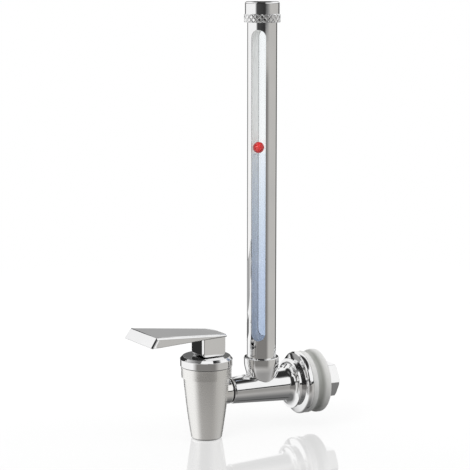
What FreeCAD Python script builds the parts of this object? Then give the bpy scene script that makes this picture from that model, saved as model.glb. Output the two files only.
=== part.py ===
import FreeCAD, Part
import math
import os
import re
import Sketcher

# Beverage dispenser spigot with a level gauge.
# Millimetres. +Z is up and +Y runs along the shank into the container.
# The origin is the centre of the flange's mounting face, on the shank's axis.

document = FreeCAD.newDocument("spigot")
sizes = document.addObject("Spreadsheet::Sheet", "Sizes")

# Every driving dimension: alias, value and what it is.
DIMENSIONS = [
    ("barrel_place", -53.1, "barrel axis along Y"),
    ("gauge_place", -22.2, "gauge axis along Y"),
    ("fit_gap", 0.05, "clearance of parts that fit in each other"),
    ("running_gap", 0.06, "clearance of a shaft in its guide"),
    ("loose_gap", 0.2, "room round parts that only lie beside each other"),
    ("soft_gap", 0.1, "room round a part that sits in silicone"),
    ("edge_break", 0.3, "broken edge at the bonnet's seam"),
    ("beyond", 1.0, "how far a cut runs past the piece"),
    ("seat_gap", 0.25, "room between the lever and bonnet, and the cup and seat"),
    ("inlet_bore", 4.0, "radius of the liquid's way through the shank"),
    ("arm_bore", 3.8, "radius of the liquid's way through the arm"),
    # shank, flange, washers and nut
    ("shank_radius", 6.0, "threaded shank"),
    ("shank_end", 18.5, "rear end of the shank"),
    ("spigot_end", -14.0, "front end of the shank inside the bell"),
    ("flange_radius", 16.1, "wall flange"),
    ("flange_rim", 2.9, "width of the flange's rim"),
    ("flange_bevel", 0.7, "bevel on the flange's rim, across"),
    ("flange_cone", 1.3, "depth of the flange's conical front"),
    ("flange_hub", 10.5, "radius where the flange meets the bell"),
    ("washer_room", 0.2, "room between the shank and the washers"),
    ("front_washer_thick", 2.9, "thin washer"),
    ("front_washer_radius", 16.0, "thin washer"),
    ("washer_rounding", 0.4, "rounding of the thin washer's edges"),
    ("rear_washer_thick", 7.4, "thick washer"),
    ("rear_washer_radius", 16.4, "thick washer at its widest"),
    ("rear_washer_neck", 15.2, "thick washer at its front"),
    ("rear_washer_flare", 15.4, "thick washer where its neck ends"),
    ("rear_neck_length", 2.1, "neck of the thick washer"),
    ("rear_swell", 4.5, "from the thick washer's front to its widest"),
    ("rear_rounding", 0.9, "rounding of the thick washer's rear edge"),
    ("nut_flats", 16.5, "nut across its flats"),
    ("nut_thick", 8.4, "nut along the shank"),
    ("nut_chamfer", 0.9, "chamfer on the nut's corners, across"),
    ("nut_chamfer_depth", 0.45, "chamfer on the nut's corners, along"),
    # arm with its nipple, bell and gauge socket
    ("arm_front", -40.0, "front shoulder of the arm"),
    ("arm_front_radius", 6.9, "arm beside the barrel"),
    ("arm_rear_radius", 8.5, "arm where the bell flares"),
    ("bell_front", -6.5, "front face of the bell's lip"),
    ("bell_radius", 12.8, "bell's lip"),
    ("bell_lip", 1.1, "thickness of the bell's lip"),
    ("bell_flare", 3.8, "hollow curve from arm to lip"),
    ("shoulder_rounding", 1.1, "rounding of the arm's front shoulder"),
    ("nipple_radius", 5.2, "arm's end inside the barrel's boss"),
    ("boss_root", 5.62, "socket boss, its cone carried on to the arm's axis"),
    ("neck_height", 9.0, "top of the boss's cone"),
    ("neck_radius", 8.32, "socket boss, at the top of its cone"),
    ("bowl_level", 11.45, "curve from the cone to the collar, half way up"),
    ("bowl_step", 0.18, "curve from the cone to the collar, inside the collar's side"),
    ("collar_wall", 1.49, "socket collar, outside the tube"),
    ("collar_foot", 13.9, "lower edge of the collar's straight side"),
    ("collar_rim", 15.9, "upper rim of the collar"),
    ("collar_rounding", 0.4, "rounding of the collar's rim"),
    ("socket_floor", 11.5, "floor of the socket"),
    ("riser_bore", 2.5, "way up from the arm to the gauge"),
    ("saddle_fillet", 0.6, "hollow between boss and arm"),
    ("shank_ring_wire", 0.7, "half thickness of the O-ring at the bell"),
    # level gauge
    ("tube_radius", 7.5, "outer tube"),
    ("tube_wall", 1.0, "outer tube's wall"),
    ("tube_top", 191.2, "top of both tubes"),
    ("slot_width", 7.4, "window in the outer tube"),
    ("slot_foot", 25.2, "lower end of the window"),
    ("slot_margin", 9.7, "from the window's upper end to the tube's top"),
    ("slot_turn", 48.3, "turn of the window from the front, degrees"),
    ("sight_room", 0.2, "room between the outer tube and the clear tube"),
    ("sight_wall", 1.3, "clear tube's wall"),
    ("lower_seal_thick", 1.5, "ring under the clear tube"),
    ("upper_seal_thick", 1.5, "ring on top of the tubes"),
    ("cap_wall", 1.05, "cap's wall"),
    ("cap_roof", 2.6, "thickness of the cap's top"),
    ("cap_rounding", 1.0, "rounding of the cap's top edge"),
    ("cap_vent", 0.75, "vent hole in the cap"),
    ("grip_step", 0.47, "knurled ring, beyond the cap's side"),
    ("cap_overlap", 6.2, "cap's reach down over the tube"),
    ("grip_height", 4.1, "height of the ring"),
    ("ball_radius", 2.9, "float"),
    ("ball_level", 123.0, "float's centre at rest"),
    ("ball_room", 0.4, "room between the float and the clear tube"),
    ("ball_side", 244.4, "side on which the float touches the tube, degrees"),
    ("water_gap", 0.1, "water to tube, all round"),
    ("float_gap", 0.3, "water to float"),
    # barrel
    ("band_radius", 12.85, "satin band at the top of the barrel"),
    ("band_foot_radius", 12.65, "band at its lower edge"),
    ("barrel_top", 14.2, "top face of the barrel"),
    ("band_height", 5.4, "height of the band"),
    ("body_radius", 11.75, "barrel under the band"),
    ("waist_radius", 10.15, "barrel at half height"),
    ("waist_level", -6.5, "half height of the barrel"),
    ("foot_radius", 7.7, "barrel at its foot"),
    ("barrel_foot", -23.0, "bottom face of the barrel"),
    ("foot_rounding", 1.3, "rounding of the barrel's foot"),
    ("chamber_radius", 8.6, "valve chamber"),
    ("seat_top", -9.0, "upper edge of the seat cone"),
    ("seat_foot", -12.5, "lower edge of the seat cone"),
    ("outlet_bore", 5.5, "outlet"),
    ("side_boss_radius", 6.6, "boss that takes the arm"),
    ("side_boss_rounding", 0.8, "rounding of the boss's front edge"),
    ("neck_gasket_thick", 0.6, "ring between boss and arm"),
    # bonnet
    ("bonnet_radius", 13.3, "bonnet"),
    ("bonnet_gasket_thick", 0.3, "ring between bonnet and barrel"),
    ("bonnet_side", 3.9, "upper edge of the bonnet's side, above the barrel"),
    ("crown_rise", 5.4, "top of the bonnet's crown, above the barrel"),
    ("crown_flat", 11.9, "radius of the crown's flat middle"),
    ("crown_curve_radius", 12.85, "crown's shoulder, radius"),
    ("crown_shoulder", 4.85, "crown's shoulder, above the barrel"),
    ("skirt_radius", 10.15, "bonnet's screw skirt"),
    ("skirt_depth", 7.0, "skirt's reach into the barrel"),
    ("skirt_bore", 8.0, "inside of the skirt"),
    ("skirt_room", 3.2, "ceiling inside the bonnet, below the barrel's top"),
    ("stem_ring_wire", 0.8, "half thickness of the stem's O-ring"),
    ("stem_ring_rise", 0.4, "middle of the stem's O-ring, above the barrel"),
    # stem, seat cup, washer and spring
    ("stem_radius", 1.8, "stem"),
    ("stem_head", 2.4, "stem above its pin"),
    ("stem_rounding", 0.6, "rounding of the stem's top"),
    ("stem_neck", 1.3, "stem inside the cup"),
    ("barb_radius", 2.2, "barb at the stem's foot"),
    ("barb_foot", -8.6, "lower face of the barb"),
    ("barb_height", 1.4, "height of the barb"),
    ("cup_top", -3.2, "top of the seat cup"),
    ("cup_top_radius", 4.2, "seat cup at its top"),
    ("cup_shoulder", -5.8, "shoulder of the seat cup"),
    ("cup_foot", -11.8, "lower face of the seat cup"),
    ("cup_cone", 1.75, "height of the seat cup's cone"),
    ("spring_washer_thick", 0.7, "washer under the spring"),
    ("spring_washer_radius", 5.9, "washer under the spring"),
    ("spring_coil", 4.6, "spring's mean radius"),
    ("spring_wire", 0.5, "half thickness of the spring's wire"),
    ("spring_pitch", 2.0, "spring's pitch"),
    # lever
    ("handle_turn", 6.0, "turn of the lever about the barrel, degrees"),
    ("pin_rise", 4.4, "handle pin above the bonnet"),
    ("pin_radius", 1.0, "handle pin"),
    ("pin_blind", 4.5, "depth of the pin's blind end past the middle"),
    ("pedestal_width", 12.1, "pedestal across"),
    ("pedestal_front", -5.5, "front face of the pedestal"),
    ("pedestal_rear", 7.6, "rear face of the pedestal"),
    ("pedestal_rounding", 2.0, "rounding of the pedestal's lower edges"),
    ("cavity_width", 3.9, "room for the stem, across"),
    ("cavity_front", -3.4, "front wall of the stem's room"),
    ("cavity_rear", 3.4, "rear wall of the stem's room"),
    ("head_room", 0.6, "room over the stem's head"),
    ("blade_rise", 6.0, "underside of the blade, above the pin"),
    ("blade_rear", 7.3, "rear edge of the blade"),
    ("blade_rear_thick", 1.1, "blade at its rear"),
    ("blade_front", -35.7, "front edge of the blade's top"),
    ("blade_front_thick", 5.2, "blade at its front"),
    ("blade_toe", -39.1, "foot of the blade's front bevel"),
    ("toe_thick", 0.4, "blade at that foot"),
    ("blade_sole", 1.0, "from the bevel's foot to the underside"),
    ("blade_rear_half", 8.1, "half the blade's width at its rear"),
    ("blade_front_half", 14.2, "half the blade's width at its toe"),
    ("blade_chamfer", 0.9, "chamfer along the blade's sides"),
]

for row, (alias, size, meaning) in enumerate(DIMENSIONS, start=1):
    sizes.set(f"A{row}", alias)
    sizes.set(f"B{row}", str(size))
    sizes.set(f"C{row}", meaning)
    sizes.setAlias(f"B{row}", alias)
document.recompute()

# Places and sizes that follow from the driving dimensions.
DERIVED = {
    "washer_bore": "shank_radius + washer_room",
    "collar_radius": "tube_radius + fit_gap + collar_wall",
    "slot_head": "tube_top - slot_margin",
    "sight_radius": "tube_radius - tube_wall - sight_room",
    "sight_bore": "sight_radius - sight_wall",
    "cap_radius": "tube_radius + fit_gap + cap_wall",
    "grip_radius": "cap_radius + grip_step",
    "grip_foot": "tube_top - cap_overlap",
    "ball_lean": "sight_bore - ball_radius - ball_room",
    "band_foot": "barrel_top - band_height",
    "bonnet_edge": "barrel_top + bonnet_side",
    "crown_level": "barrel_top + crown_rise",
    "crown_curve_level": "barrel_top + crown_shoulder",
    "skirt_foot": "barrel_top - skirt_depth",
    "skirt_roof": "barrel_top - skirt_room",
    "stem_ring_level": "barrel_top + stem_ring_rise",
    "pin_level": "crown_level + pin_rise",
    "cavity_roof": "pin_level + stem_head + head_room",
    "blade_under": "pin_level + blade_rise",
    "blade_rear_top": "blade_under + blade_rear_thick",
    "blade_front_top": "blade_under + blade_front_thick",
    "blade_toe_level": "blade_under + toe_thick",
}
FUNCTIONS = {"sqrt", "sin", "cos"}
TINY = 1e-3


def bound(expression):
    """The same expression with each size named in full, as the document's bindings need it."""
    def in_full(word):
        name = word.group(0)
        if name in FUNCTIONS:
            return name
        if name in DERIVED:
            return "(" + bound(DERIVED[name]) + ")"
        return "Sizes." + name
    return re.sub(r"[a-z][a-z_]+", in_full, expression)


def value(expression):
    """The number that an expression gives with the sheet's present sizes."""
    return float(sizes.evalExpression(bound(expression)))


def new_body(name, along="0", turn=None):
    """A body on its own axis: moved along Y, and turned about Z, by expressions."""
    body = document.addObject("PartDesign::Body", name)
    body.Label = name
    place(body, along, turn)
    return body


def place(piece, along, turn=None):
    """Bind a piece's place along Y, and its turn about Z."""
    if along != "0":
        piece.setExpression("Placement.Base.y", bound(along))
    if turn:
        piece.Placement = FreeCAD.Placement(
            piece.Placement.Base, FreeCAD.Rotation(FreeCAD.Vector(0, 0, 1), value(turn)))
        piece.setExpression("Placement.Rotation.Angle", bound(turn))


def sketch_on(body, role, name):
    """An empty sketch on one of the body's own origin planes."""
    plane = next(item for item in body.Origin.OriginFeatures if item.Role == role)
    sketch = body.newObject("Sketcher::SketchObject", name)
    sketch.AttachmentSupport = [(plane, "")]
    sketch.MapMode = "FlatFace"
    return sketch


def tie(sketch, edge, end, direction, expression, label):
    """Hold one end of an edge at a distance from the sketch's origin."""
    if expression == "0":
        axis = -2 if direction == "DistanceX" else -1
        sketch.addConstraint(Sketcher.Constraint("PointOnObject", edge, end, axis))
        return
    rule = Sketcher.Constraint(direction, -1, 1, edge, end, value(expression))
    index = sketch.addConstraint(rule)
    sketch.renameConstraint(index, label)
    sketch.setExpression("Constraints." + label, bound(expression))


def leftward_arc(start, via, finish, leftward):
    """The arc through three points, drawn anticlockwise from whichever end that is."""
    centre = Part.Arc(start, via, finish).toShape().Curve.Center
    first, last = (start, finish) if leftward else (finish, start)
    angles = [math.atan2(spot.y - centre.y, spot.x - centre.x) for spot in (first, last)]
    if angles[1] <= angles[0]:
        angles[1] += 2 * math.pi
    around = Part.Circle(centre, FreeCAD.Vector(0, 0, 1), (start - centre).Length)
    return Part.ArcOfCircle(around, angles[0], angles[1])


def outline(body, role, name, corners):
    """A closed outline. A corner is (across, up), or (across, up, via across, via up)
    where an arc through the second point leads on to the next corner."""
    sketch = sketch_on(body, role, name)
    spots = [FreeCAD.Vector(value(corner[0]), value(corner[1]), 0) for corner in corners]
    starts = []
    for number, corner in enumerate(corners):
        start = spots[number]
        finish = spots[(number + 1) % len(spots)]
        if len(corner) == 2:
            sketch.addGeometry(Part.LineSegment(start, finish))
            starts.append(1)
        else:
            via = FreeCAD.Vector(value(corner[2]), value(corner[3]), 0)
            leftward = (via - start).cross(finish - via).z > 0
            sketch.addGeometry(leftward_arc(start, via, finish, leftward))
            starts.append(1 if leftward else 2)
    for number in range(len(corners)):
        following = (number + 1) % len(corners)
        end = 3 - starts[number]
        joint = Sketcher.Constraint("Coincident", number, end, following, starts[following])
        sketch.addConstraint(joint)
    for number, corner in enumerate(corners):
        tie(sketch, number, starts[number], "DistanceX", corner[0], f"across_{number}")
        tie(sketch, number, starts[number], "DistanceY", corner[1], f"up_{number}")
    for number, corner in enumerate(corners):
        if len(corner) == 4:
            via = FreeCAD.Vector(value(corner[2]), value(corner[3]), 0)
            mark = sketch.addGeometry(Part.Point(via), True)
            sketch.addConstraint(Sketcher.Constraint("PointOnObject", mark, 1, number))
            tie(sketch, mark, 1, "DistanceX", corner[2], f"via_across_{number}")
            tie(sketch, mark, 1, "DistanceY", corner[3], f"via_up_{number}")
    return sketch


def quarter_round(across, up, size, before, after):
    """The two ends of a quarter round: its edges leave the square corner along these directions."""
    def moved(base, direction, share=""):
        if direction == 0:
            return base
        return f"{base} {'+' if direction > 0 else '-'} {size}{share}"

    middle = " * (1 - sqrt(0.5))"
    return [
        (moved(across, before[0]), moved(up, before[1]),
         moved(across, before[0] + after[0], middle), moved(up, before[1] + after[1], middle)),
        (moved(across, after[0]), moved(up, after[1])),
    ]


def circle(body, role, name, radius, across="0", up="0"):
    """A round outline."""
    sketch = sketch_on(body, role, name)
    centre = FreeCAD.Vector(value(across), value(up), 0)
    sketch.addGeometry(Part.Circle(centre, FreeCAD.Vector(0, 0, 1), value(radius)))
    index = sketch.addConstraint(Sketcher.Constraint("Radius", 0, value(radius)))
    sketch.renameConstraint(index, "radius")
    sketch.setExpression("Constraints.radius", bound(radius))
    tie(sketch, 0, 3, "DistanceX", across, "across")
    tie(sketch, 0, 3, "DistanceY", up, "up")
    return sketch


def turned(body, kind, sketch, axis, name):
    """A full turn of a sketch about its own axis, adding or cutting."""
    feature = body.newObject("PartDesign::" + kind, name)
    feature.Profile = sketch
    feature.ReferenceAxis = (sketch, [axis])
    feature.Angle = 360
    return feature


def pushed(body, kind, sketch, length, name, both_ways=False, backwards=False):
    """A pad or pocket of a sketch, to a length or right through the piece."""
    feature = body.newObject("PartDesign::" + kind, name)
    feature.Profile = sketch
    if length:
        feature.setExpression("Length", bound(length))
    else:
        feature.Type = "ThroughAll"
    if both_ways:
        feature.SideType = "Symmetric"
    feature.Reversed = backwards
    return feature


def finished_edges(body, kind, name, size, wanted):
    """A fillet or chamfer on the edges of the piece so far that the test picks."""
    document.recompute()
    base = body.Tip
    names = [f"Edge{n}" for n, edge in enumerate(base.Shape.Edges, start=1) if wanted(edge)]
    if not names:
        raise ValueError(f"{body.Label}: {name} finds no edge")
    feature = body.newObject("PartDesign::" + kind, name)
    feature.Base = (base, names)
    feature.setExpression("Radius" if kind == "Fillet" else "Size", bound(size))
    return feature


def ring_at(radius, level, upright=True):
    """A test for a round edge of this radius at this place on the turning axis."""
    def test(edge):
        curve = edge.Curve
        if not isinstance(curve, Part.Circle):
            return False
        place_on_axis = curve.Center.z if upright else curve.Center.y
        near = abs(place_on_axis - value(level)) < TINY
        return near and abs(curve.Radius - value(radius)) < TINY
    return test


def turned_piece(name, corners, along="0", turn=None, upright=True):
    """A piece made in one turning, about Z or, if not upright, about Y."""
    body = new_body(name, along, turn)
    sketch = outline(body, "XZ_Plane" if upright else "YZ_Plane", name + "_outline", corners)
    turned(body, "Revolution", sketch, "V_Axis" if upright else "H_Axis", name + "_turning")
    return body


def ring_piece(name, mean_radius, wire, along, up="0", upright=True):
    """An O-ring: mean radius and half thickness."""
    ring = document.addObject("Part::Torus", name)
    ring.Label = name
    ring.setExpression("Radius1", bound(mean_radius))
    ring.setExpression("Radius2", bound(wire))
    if not upright:
        ring.Placement = FreeCAD.Placement(
            FreeCAD.Vector(0, 0, 0), FreeCAD.Rotation(FreeCAD.Vector(1, 0, 0), 90))
    ring.setExpression("Placement.Base.y", bound(along))
    if up != "0":
        ring.setExpression("Placement.Base.z", bound(up))
    return ring


def make_spout_barrel():
    """Tapered barrel: outside turned, side boss added, then chamber, seat, outlet and port cut."""
    body = new_body("spout_barrel", "barrel_place")
    outside = outline(body, "XZ_Plane", "barrel_outside", [
        ("0", "barrel_foot"),
        ("foot_radius", "barrel_foot", "waist_radius", "waist_level"),
        ("body_radius", "band_foot"),
        ("band_foot_radius", "band_foot"),
        ("band_radius", "barrel_top"),
        ("0", "barrel_top"),
    ])
    turned(body, "Revolution", outside, "V_Axis", "barrel_turning")
    boss = circle(body, "XZ_Plane", "side_boss_outline", "side_boss_radius")
    pushed(body, "Pad", boss, "arm_front - neck_gasket_thick - barrel_place", "side_boss",
           backwards=True)
    finished_edges(body, "Fillet", "side_boss_edge", "side_boss_rounding",
                   ring_at("side_boss_radius", "arm_front - neck_gasket_thick - barrel_place",
                           upright=False))
    finished_edges(body, "Fillet", "foot_edge", "foot_rounding",
                   ring_at("foot_radius", "barrel_foot"))
    chamber = outline(body, "XZ_Plane", "chamber_outline", [
        ("0", "barrel_foot - beyond"),
        ("outlet_bore", "barrel_foot - beyond"),
        ("outlet_bore", "seat_foot"),
        ("chamber_radius", "seat_top"),
        ("chamber_radius", "skirt_foot - fit_gap"),
        ("skirt_radius + fit_gap", "skirt_foot - fit_gap"),
        ("skirt_radius + fit_gap", "barrel_top + beyond"),
        ("0", "barrel_top + beyond"),
    ])
    turned(body, "Groove", chamber, "V_Axis", "chamber")
    port = circle(body, "XZ_Plane", "port_outline", "nipple_radius + fit_gap")
    pushed(body, "Pocket", port, "arm_front - barrel_place + beyond", "port")


def make_bonnet():
    """Screw cap with a low crown, a skirt and a guide for the stem."""
    guide = "stem_radius + running_gap"
    groove = f"{guide} + 2 * stem_ring_wire + 2 * fit_gap"
    corners = [
        (guide, "skirt_roof"),
        ("skirt_bore", "skirt_roof"),
        ("skirt_bore", "skirt_foot"),
        ("skirt_radius", "skirt_foot"),
        ("skirt_radius", "barrel_top + bonnet_gasket_thick"),
        ("bonnet_radius", "barrel_top + bonnet_gasket_thick"),
        ("bonnet_radius", "bonnet_edge", "crown_curve_radius", "crown_curve_level"),
        ("crown_flat", "crown_level"),
        (guide, "crown_level"),
        (guide, "stem_ring_level + stem_ring_wire + fit_gap"),
        (groove, "stem_ring_level + stem_ring_wire + fit_gap"),
        (groove, "stem_ring_level - stem_ring_wire - fit_gap"),
        (guide, "stem_ring_level - stem_ring_wire - fit_gap"),
    ]
    body = turned_piece("bonnet", corners, "barrel_place")
    finished_edges(body, "Fillet", "bonnet_lower_edge", "edge_break",
                   ring_at("bonnet_radius", "barrel_top + bonnet_gasket_thick"))


def make_valve():
    """Seals, stem, seat cup, washer and spring inside the barrel."""
    turned_piece("bonnet_gasket", [
        ("skirt_radius + fit_gap", "barrel_top"),
        ("band_radius - edge_break", "barrel_top"),
        ("band_radius - edge_break", "barrel_top + bonnet_gasket_thick"),
        ("skirt_radius + fit_gap", "barrel_top + bonnet_gasket_thick"),
    ], "barrel_place")
    ring_piece("stem_o_ring", "stem_radius + running_gap + fit_gap + stem_ring_wire",
               "stem_ring_wire", "barrel_place", "stem_ring_level")

    stem = turned_piece("valve_stem", [
        ("0", "barb_foot"),
        ("barb_radius", "barb_foot"),
        ("stem_neck + fit_gap", "barb_foot + barb_height"),
        ("stem_neck", "barb_foot + barb_height"),
        ("stem_neck", "cup_top"),
        ("stem_radius", "cup_top + loose_gap"),
        ("stem_radius", "pin_level + stem_head"),
        ("0", "pin_level + stem_head"),
    ], "barrel_place", "handle_turn")
    eye = circle(stem, "YZ_Plane", "eye_outline", "pin_radius + running_gap", up="pin_level")
    pushed(stem, "Pocket", eye, None, "eye", both_ways=True)
    finished_edges(stem, "Fillet", "stem_crown", "stem_rounding",
                   ring_at("stem_radius", "pin_level + stem_head"))

    # The cup's cone is parallel to the seat's, a little inside it.
    slope = "(chamber_radius - outlet_bore) / (seat_top - seat_foot)"
    cone = f"outlet_bore - seat_gap + (cup_foot - seat_foot) * {slope}"
    cone_top = "cup_foot + cup_cone"
    cup_wide = f"{cone} + cup_cone * {slope}"
    turned_piece("seat_cup", [
        ("0", "cup_foot"),
        (cone, "cup_foot"),
        (cup_wide, cone_top),
        (cup_wide, "cup_shoulder"),
        ("cup_top_radius", "cup_top"),
        ("stem_neck + soft_gap", "cup_top"),
        ("stem_neck + soft_gap", "barb_foot + barb_height + soft_gap"),
        ("barb_radius + soft_gap", "barb_foot"),
        ("barb_radius + soft_gap", "barb_foot - soft_gap"),
        ("0", "barb_foot - soft_gap"),
    ], "barrel_place")

    turned_piece("spring_washer", [
        ("stem_radius + loose_gap", "cup_top"),
        ("spring_washer_radius", "cup_top"),
        ("spring_washer_radius", "cup_top + spring_washer_thick"),
        ("stem_radius + loose_gap", "cup_top + spring_washer_thick"),
    ], "barrel_place")

    spring_foot = "cup_top + spring_washer_thick + spring_wire + fit_gap"
    body = new_body("return_spring", "barrel_place")
    wire = circle(body, "XZ_Plane", "spring_wire_outline", "spring_wire", "spring_coil",
                  spring_foot)
    coil = body.newObject("PartDesign::AdditiveHelix", "spring_coil_sweep")
    coil.Profile = wire
    coil.ReferenceAxis = (wire, ["V_Axis"])
    coil.Mode = "pitch-height-angle"
    coil.setExpression("Pitch", bound("spring_pitch"))
    coil.setExpression("Height", bound(f"skirt_roof - spring_wire - fit_gap - ({spring_foot})"))


def make_tee_arm():
    """Arm with nipple and bell turned about Y, and the gauge's boss turned about Z."""
    body = new_body("tee_arm", "gauge_place")
    along = "{} - gauge_place".format
    nipple_end = along("barrel_place + chamber_radius - fit_gap")
    flange_face = "(-flange_rim - flange_cone - fit_gap * 2)"
    arm = outline(body, "YZ_Plane", "arm_outline", [
        (nipple_end, "0"),
        (nipple_end, "nipple_radius"),
        (along("arm_front"), "nipple_radius"),
        *quarter_round(along("arm_front"), "arm_front_radius", "shoulder_rounding",
                       (0, -1), (1, 0)),
        *quarter_round(along("bell_front"), "arm_rear_radius", "bell_flare", (-1, 0), (0, 1)),
        (along("bell_front"), "bell_radius"),
        (along("bell_front + bell_lip"), "bell_radius"),
        (along(flange_face), "flange_hub"),
        (along(flange_face), "0"),
    ])
    turned(body, "Revolution", arm, "H_Axis", "arm_turning")
    boss = outline(body, "YZ_Plane", "boss_outline", [
        ("0", "0"),
        ("boss_root", "0"),
        ("neck_radius", "neck_height",
         "collar_radius - bowl_step", "bowl_level"),
        ("collar_radius", "collar_foot"),
        *quarter_round("collar_radius", "collar_rim", "collar_rounding", (0, -1), (-1, 0)),
        ("0", "collar_rim"),
    ])
    turned(body, "Revolution", boss, "V_Axis", "boss_turning")

    def on_saddle(edge):
        """Where the boss's cone meets the arm."""
        if isinstance(edge.Curve, (Part.Circle, Part.Line)):
            return False
        spots = [edge.valueAt(edge.FirstParameter), edge.valueAt(edge.LastParameter)]
        slope = (value("neck_radius") - value("boss_root")) / value("neck_height")
        return all(
            spot.z > 0
            and abs(math.hypot(spot.x, spot.y) - value("boss_root") - slope * spot.z) < TINY
            for spot in spots
        )

    finished_edges(body, "Fillet", "saddle", "saddle_fillet", on_saddle)
    ring_seat = "shank_radius + 2 * shank_ring_wire + 3 * fit_gap"
    bore = outline(body, "YZ_Plane", "bore_outline", [
        (nipple_end + " - beyond", "0"),
        (nipple_end + " - beyond", "arm_bore"),
        (along("spigot_end - fit_gap"), "arm_bore"),
        (along("spigot_end - fit_gap"), "shank_radius + fit_gap"),
        (along(f"{flange_face} - 2 * shank_ring_wire"), "shank_radius + fit_gap"),
        (along(f"{flange_face} - 2 * shank_ring_wire"), ring_seat),
        (along(f"{flange_face} + beyond"), ring_seat),
        (along(f"{flange_face} + beyond"), "0"),
    ])
    turned(body, "Groove", bore, "H_Axis", "bore")
    socket = outline(body, "YZ_Plane", "socket_outline", [
        ("0", "0"),
        ("riser_bore", "0"),
        ("riser_bore", "socket_floor"),
        ("tube_radius + fit_gap", "socket_floor"),
        ("tube_radius + fit_gap", "collar_rim + beyond"),
        ("0", "collar_rim + beyond"),
    ])
    turned(body, "Groove", socket, "V_Axis", "socket")


def make_mounting():
    """Flanged shank, seals, washers and nut, all on the Y axis."""
    turned_piece("flanged_shank", [
        ("spigot_end", "inlet_bore"),
        ("spigot_end", "shank_radius"),
        ("-flange_rim - flange_cone", "shank_radius"),
        ("-flange_rim - flange_cone", "flange_hub"),
        ("-flange_rim - flange_bevel / 2", "flange_radius - flange_bevel"),
        ("-flange_rim", "flange_radius"),
        ("0", "flange_radius"),
        ("0", "shank_radius"),
        ("shank_end", "shank_radius"),
        ("shank_end", "inlet_bore"),
    ], upright=False)
    ring_piece("shank_o_ring", "shank_radius + fit_gap * 2 + shank_ring_wire", "shank_ring_wire",
               "-flange_rim - flange_cone - fit_gap - shank_ring_wire", upright=False)
    turned_piece("neck_gasket", [
        ("arm_front - neck_gasket_thick", "nipple_radius + fit_gap"),
        ("arm_front - neck_gasket_thick", "side_boss_radius - side_boss_rounding / 2"),
        ("arm_front", "side_boss_radius - side_boss_rounding / 2"),
        ("arm_front", "nipple_radius + fit_gap"),
    ], upright=False)
    turned_piece("front_washer", [
        ("0", "washer_bore"),
        *quarter_round("0", "front_washer_radius", "washer_rounding", (0, -1), (1, 0)),
        *quarter_round("front_washer_thick", "front_washer_radius", "washer_rounding",
                       (-1, 0), (0, -1)),
        ("front_washer_thick", "washer_bore"),
    ], upright=False)
    start = "front_washer_thick"
    turned_piece("rear_washer", [
        (start, "washer_bore"),
        (start, "rear_washer_neck"),
        (f"{start} + rear_neck_length", "rear_washer_flare"),
        (f"{start} + rear_swell", "rear_washer_radius"),
        *quarter_round(f"{start} + rear_washer_thick", "rear_washer_radius", "rear_rounding",
                       (-1, 0), (0, -1)),
        (f"{start} + rear_washer_thick", "washer_bore"),
    ], upright=False)

    nut = new_body("mounting_nut", "front_washer_thick + rear_washer_thick")
    corner = "nut_flats / sqrt(3)"
    side = "nut_flats / 2"
    hexagon = outline(nut, "XZ_Plane", "hexagon", [
        (corner, "0"),
        (f"{corner} / 2", side),
        (f"-{corner} / 2", side),
        (f"-{corner}", "0"),
        (f"-{corner} / 2", f"-{side}"),
        (f"{corner} / 2", f"-{side}"),
    ])
    pushed(nut, "Pad", hexagon, "nut_thick", "nut_block", backwards=True)
    outer = f"{corner} + beyond"
    ends = (("front", "0", "nut_chamfer_depth", "-beyond"),
            ("rear", "nut_thick", "nut_thick - nut_chamfer_depth", "nut_thick + beyond"))
    for name, face, inward, reach in ends:
        chamfer = outline(nut, "YZ_Plane", name + "_chamfer_outline", [
            (face, f"{corner} - nut_chamfer"),
            (inward, corner),
            (inward, outer),
            (reach, outer),
            (reach, f"{corner} - nut_chamfer"),
        ])
        turned(nut, "Groove", chamfer, "H_Axis", name + "_chamfer")
    hole = circle(nut, "XZ_Plane", "nut_hole", "shank_radius + fit_gap")
    pushed(nut, "Pocket", hole, None, "nut_bore", both_ways=True)


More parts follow.
